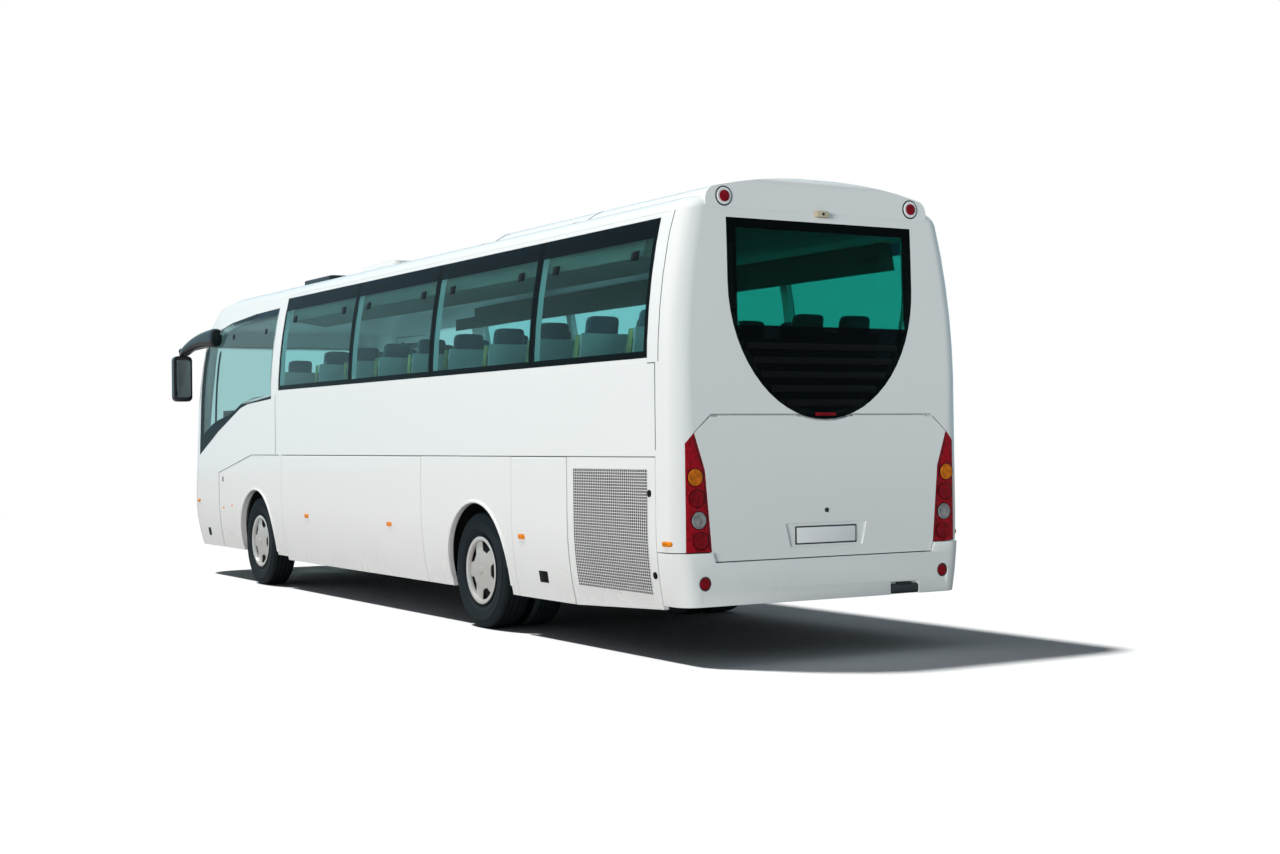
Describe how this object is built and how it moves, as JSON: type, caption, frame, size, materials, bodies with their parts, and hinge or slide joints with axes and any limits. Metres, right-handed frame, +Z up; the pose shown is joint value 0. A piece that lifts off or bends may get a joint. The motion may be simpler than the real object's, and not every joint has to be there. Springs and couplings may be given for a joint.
{
  "type": "coach bus",
  "caption": "Full-size coach bus with opening doors, luggage flaps, engine door and roof hatches, steered front wheels and twin rear wheels.",
  "frame": {"origin": "on the ground under the middle of the overall length", "axes": "+X forward, +Y left, +Z up"},
  "size_m": [11.465, 2.78, 3.4303],
  "materials": {
    "body_white": "gloss",
    "chassis_grey": "satin",
    "engine_grey": "matte",
    "radiator_black": "matte",
    "floor_grey": "matte",
    "liner_black": "matte",
    "glass_dark": "gloss",
    "lamp_red": "gloss",
    "lamp_clear": "gloss",
    "plastic_black": "satin",
    "seat_cloth": "matte",
    "rack_grey": "matte",
    "tyre_black": "matte",
    "wheel_silver": "satin",
    "arm_steel": "satin"
  },
  "bodies": {
    "coach": {"side_wall_left": "body_white", "side_wall_right": "body_white", "skirt_left": "body_white", "skirt_right": "body_white", "roof": "body_white", "front_cap": "body_white", "rear_cap": "body_white", "rear_bumper": "body_white", "roof_pod": "body_white", "chassis": "chassis_grey", "front_axle": "chassis_grey", "rear_axle": "chassis_grey", "engine": "engine_grey", "radiator": "radiator_black", "floor_deck": "floor_grey", "luggage_bay": "floor_grey", "steps": "floor_grey", "wheel_housings": "liner_black", "windscreen": "glass_dark", "glass_left": "glass_dark", "glass_right": "glass_dark", "rear_window": "glass_dark", "tail_lamps": "lamp_red", "headlamps": "lamp_clear", "mirrors": "plastic_black", "wipers": "plastic_black", "dashboard": "plastic_black", "seats_left": "seat_cloth", "seats_right": "seat_cloth", "driver_seat": "seat_cloth", "luggage_racks": "rack_grey"},
    "knuckle_left": {"knuckle_left": "chassis_grey"},
    "knuckle_right": {"knuckle_right": "chassis_grey"},
    "wheel_front_left": {"tyre_front_left": "tyre_black", "wheel_front_left": "wheel_silver"},
    "wheel_front_right": {"tyre_front_right": "tyre_black", "wheel_front_right": "wheel_silver"},
    "wheels_rear_left": {"tyres_rear_left": "tyre_black", "wheels_rear_left": "wheel_silver"},
    "wheels_rear_right": {"tyres_rear_right": "tyre_black", "wheels_rear_right": "wheel_silver"},
    "steering_wheel": {"steering_wheel": "plastic_black"},
    "front_door_arms": {"front_door_arms": "arm_steel"},
    "front_door": {"front_door": "body_white", "front_door_glass": "glass_dark"},
    "middle_door_arms": {"middle_door_arms": "arm_steel"},
    "middle_door": {"middle_door": "body_white", "middle_door_glass": "glass_dark"},
    "luggage_flap_left": {"luggage_flap_left": "body_white"},
    "luggage_flap_right": {"luggage_flap_right": "body_white"},
    "service_flap_left": {"service_flap_left": "body_white"},
    "service_flap_right": {"service_flap_right": "body_white"},
    "grille_door_left": {"grille_door_left": "body_white"},
    "side_door_right": {"side_door_right": "body_white"},
    "engine_door": {"engine_door": "body_white"},
    "hatch_front": {"hatch_front": "plastic_black"},
    "hatch_rear": {"hatch_rear": "body_white"}
  },
  "joints": [
    {"name": "steer_left", "type": "hinge", "parent": "coach", "child": "knuckle_left", "pos_m": [2.9675, 0.865, 0.479], "axis": [0, 0, 1], "range_deg": [-45, 45]},
    {"name": "steer_right", "type": "hinge", "parent": "coach", "child": "knuckle_right", "pos_m": [2.9675, -0.865, 0.479], "axis": [0, 0, 1], "range_deg": [-45, 45]},
    {"name": "wheel_front_left_spin", "type": "hinge", "parent": "knuckle_left", "child": "wheel_front_left", "pos_m": [2.9675, 1.0945, 0.479], "axis": [0, 1, 0], "continuous": true},
    {"name": "wheel_front_right_spin", "type": "hinge", "parent": "knuckle_right", "child": "wheel_front_right", "pos_m": [2.9675, -1.0945, 0.479], "axis": [0, 1, 0], "continuous": true},
    {"name": "wheels_rear_left_spin", "type": "hinge", "parent": "coach", "child": "wheels_rear_left", "pos_m": [-2.5825, 0.9395, 0.479], "axis": [0, 1, 0], "continuous": true},
    {"name": "wheels_rear_right_spin", "type": "hinge", "parent": "coach", "child": "wheels_rear_right", "pos_m": [-2.5825, -0.9395, 0.479], "axis": [0, 1, 0], "continuous": true},
    {"name": "steering_wheel_turn", "type": "hinge", "parent": "coach", "child": "steering_wheel", "pos_m": [4.5875, 0.56, 1.99], "axis": [-0.4226, 0, 0.9063], "range_deg": [-720, 720]},
    {"name": "front_door_swing", "type": "hinge", "parent": "coach", "child": "front_door_arms", "pos_m": [4.5575, -1.1, 0.8], "axis": [0, 0, 1], "range_deg": [0, 150]},
    {"name": "front_door_pivot", "type": "hinge", "parent": "front_door_arms", "child": "front_door", "pos_m": [4.0175, -1.065, 0.8], "axis": [0, 0, 1], "range_deg": [-150, 0]},
    {"name": "middle_door_swing", "type": "hinge", "parent": "coach", "child": "middle_door_arms", "pos_m": [-0.7425, -1.1, 0.8], "axis": [0, 0, 1], "range_deg": [0, 150]},
    {"name": "middle_door_pivot", "type": "hinge", "parent": "middle_door_arms", "child": "middle_door", "pos_m": [-1.2825, -1.065, 0.8], "axis": [0, 0, 1], "range_deg": [-150, 0]},
    {"name": "luggage_flap_left_hinge", "type": "hinge", "parent": "coach", "child": "luggage_flap_left", "pos_m": [0.2875, 1.263, 1.412], "axis": [1, 0, 0], "range_deg": [0, 90]},
    {"name": "luggage_flap_right_hinge", "type": "hinge", "parent": "coach", "child": "luggage_flap_right", "pos_m": [0.6875, -1.263, 1.412], "axis": [1, 0, 0], "range_deg": [-90, 0]},
    {"name": "service_flap_left_hinge", "type": "hinge", "parent": "coach", "child": "service_flap_left", "pos_m": [-3.7225, 1.263, 1.412], "axis": [1, 0, 0], "range_deg": [0, 90]},
    {"name": "service_flap_right_hinge", "type": "hinge", "parent": "coach", "child": "service_flap_right", "pos_m": [-3.7225, -1.263, 1.412], "axis": [1, 0, 0], "range_deg": [-90, 0]},
    {"name": "grille_door_left_hinge", "type": "hinge", "parent": "coach", "child": "grille_door_left", "pos_m": [-4.1975, 1.263, 1.2], "axis": [0, 0, 1], "range_deg": [-90, 0]},
    {"name": "side_door_right_hinge", "type": "hinge", "parent": "coach", "child": "side_door_right", "pos_m": [-4.1975, -1.263, 1.2], "axis": [0, 0, 1], "range_deg": [0, 90]},
    {"name": "engine_door_hinge", "type": "hinge", "parent": "coach", "child": "engine_door", "pos_m": [-5.7125, 0, 1.712], "axis": [0, 1, 0], "range_deg": [0, 80]},
    {"name": "hatch_front_hinge", "type": "hinge", "parent": "coach", "child": "hatch_front", "pos_m": [3.6675, 0, 3.3454], "axis": [0, 1, 0], "range_deg": [0, 70]},
    {"name": "hatch_rear_hinge", "type": "hinge", "parent": "coach", "child": "hatch_rear", "pos_m": [1.8875, 0, 3.3454], "axis": [0, 1, 0], "range_deg": [0, 70]}
  ],
  "couplings": [
    {"joint": "steer_right", "follows": "steer_left", "ratio": 1},
    {"joint": "steering_wheel_turn", "follows": "steer_left", "ratio": 16},
    {"joint": "front_door_pivot", "follows": "front_door_swing", "ratio": -1},
    {"joint": "middle_door_pivot", "follows": "middle_door_swing", "ratio": -1}
  ]
}
